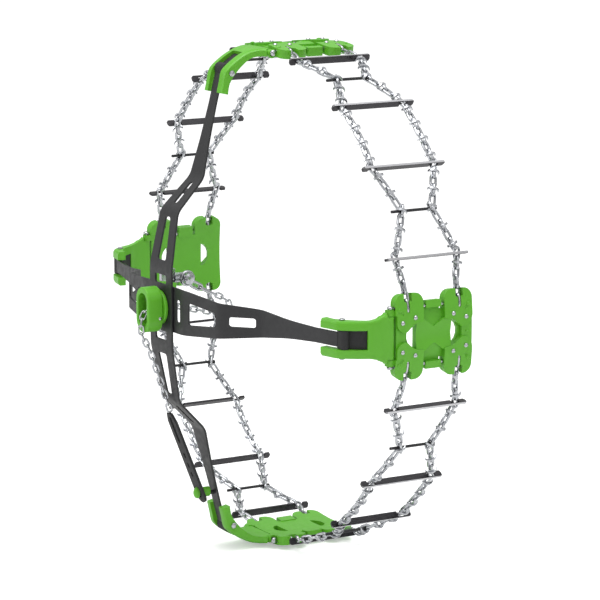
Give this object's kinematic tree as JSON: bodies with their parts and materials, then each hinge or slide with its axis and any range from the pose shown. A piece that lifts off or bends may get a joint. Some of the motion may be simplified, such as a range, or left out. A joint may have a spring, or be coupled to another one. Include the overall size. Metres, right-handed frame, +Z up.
{
  "type": "tire snow chains",
  "caption": "Front-fitting tyre snow chain set: plastic tread plates and forks, zigzag steel chains with crossbars, and a sprung steel cross drawn in by a ratchet.",
  "frame": {"origin": "centre of the tyre that the chains are fitted to, on the wheel's axle and in the middle of the tread's width", "axes": "+Y along the axle towards the car, so the arms and the ratchet are on the -Y side; +Z up, with one arm along Z and the other along X"},
  "size_m": [0.717, 0.325, 0.717],
  "materials": {
    "green_plastic": "satin moulded",
    "black_steel": "matte powder coat",
    "zinc_steel": "zinc plated",
    "chain_steel": "zinc plated, bright",
    "bar_steel": "rolled strip, zinc plated",
    "rubber": "matte"
  },
  "bodies": {
    "tread_ring": {"tread_plate_right": "green_plastic", "hinge_pin_right": "zinc_steel", "anchor_pin_right_lead": "zinc_steel", "anchor_pin_right_trail": "zinc_steel", "tread_chain_outer_right": "chain_steel", "tread_chain_inner_right": "chain_steel", "crossbar_right_1": "bar_steel", "crossbar_right_2": "bar_steel", "crossbar_right_3": "bar_steel", "crossbar_right_4": "bar_steel", "tread_plate_top": "green_plastic", "hinge_pin_top": "zinc_steel", "anchor_pin_top_lead": "zinc_steel", "anchor_pin_top_trail": "zinc_steel", "tread_chain_outer_top": "chain_steel", "tread_chain_inner_top": "chain_steel", "crossbar_top_1": "bar_steel", "crossbar_top_2": "bar_steel", "crossbar_top_3": "bar_steel", "crossbar_top_4": "bar_steel", "tread_plate_left": "green_plastic", "hinge_pin_left": "zinc_steel", "anchor_pin_left_lead": "zinc_steel", "anchor_pin_left_trail": "zinc_steel", "tread_chain_outer_left": "chain_steel", "tread_chain_inner_left": "chain_steel", "crossbar_left_1": "bar_steel", "crossbar_left_2": "bar_steel", "crossbar_left_3": "bar_steel", "crossbar_left_4": "bar_steel", "tread_plate_bottom": "green_plastic", "hinge_pin_bottom": "zinc_steel", "anchor_pin_bottom_lead": "zinc_steel", "anchor_pin_bottom_trail": "zinc_steel", "tread_chain_outer_bottom": "chain_steel", "tread_chain_inner_bottom": "chain_steel", "crossbar_bottom_1": "bar_steel", "crossbar_bottom_2": "bar_steel", "crossbar_bottom_3": "bar_steel", "crossbar_bottom_4": "bar_steel"},
    "right_fork": {"fork_right": "green_plastic", "strap_pin_right": "zinc_steel"},
    "top_fork": {"fork_top": "green_plastic", "strap_pin_top": "zinc_steel"},
    "left_fork": {"fork_left": "green_plastic", "strap_pin_left": "zinc_steel"},
    "bottom_fork": {"fork_bottom": "green_plastic", "strap_pin_bottom": "zinc_steel"},
    "cross": {"vertical_arm": "black_steel", "horizontal_arm": "black_steel", "ratchet_housing": "green_plastic", "ratchet_base": "green_plastic", "base_nut": "black_steel", "pawl_pin": "zinc_steel", "loose_chain": "chain_steel", "draw_chain": "chain_steel", "tensioner_band": "rubber"},
    "chain_wheel": {"ratchet_wheel": "zinc_steel"},
    "pawl_lever": {"pawl": "zinc_steel"},
    "swivel_ring": {"anchor_ring": "zinc_steel"}
  },
  "joints": [
    {"name": "cross_draw", "type": "slide", "parent": "tread_ring", "child": "cross", "axis": [0, -1, 0], "range_m": [0, 0.0026]},
    {"name": "right_fork_swing", "type": "hinge", "parent": "tread_ring", "child": "right_fork", "pos_m": [0.35, -0.065, 0], "axis": [0, 0, 1], "range_deg": [0, 6]},
    {"name": "top_fork_swing", "type": "hinge", "parent": "tread_ring", "child": "top_fork", "pos_m": [0, -0.065, 0.35], "axis": [-1, 0, 0], "range_deg": [0, 6]},
    {"name": "left_fork_swing", "type": "hinge", "parent": "tread_ring", "child": "left_fork", "pos_m": [-0.35, -0.065, 0], "axis": [0, 0, -1], "range_deg": [0, 6]},
    {"name": "bottom_fork_swing", "type": "hinge", "parent": "tread_ring", "child": "bottom_fork", "pos_m": [0, -0.065, -0.35], "axis": [1, 0, 0], "range_deg": [0, 6]},
    {"name": "wheel_turn", "type": "hinge", "parent": "cross", "child": "chain_wheel", "pos_m": [0, -0.238, 0.012], "axis": [1, 0, 0], "continuous": true},
    {"name": "pawl_tilt", "type": "hinge", "parent": "cross", "child": "pawl_lever", "pos_m": [0, -0.234, -0.013], "axis": [1, 0, 0], "range_deg": [0, 15], "stiffness_Nm_per_rad": 0.05, "springref_deg": -5.73},
    {"name": "ring_swivel", "type": "hinge", "parent": "cross", "child": "swivel_ring", "pos_m": [0.009, -0.186, 0.038], "axis": [1, 0, 0], "continuous": true}
  ],
  "couplings": [
    {"joint": "right_fork_swing", "follows": "cross_draw", "rad_per_m": 40},
    {"joint": "top_fork_swing", "follows": "cross_draw", "rad_per_m": 40},
    {"joint": "left_fork_swing", "follows": "cross_draw", "rad_per_m": 40},
    {"joint": "bottom_fork_swing", "follows": "cross_draw", "rad_per_m": 40}
  ]
}
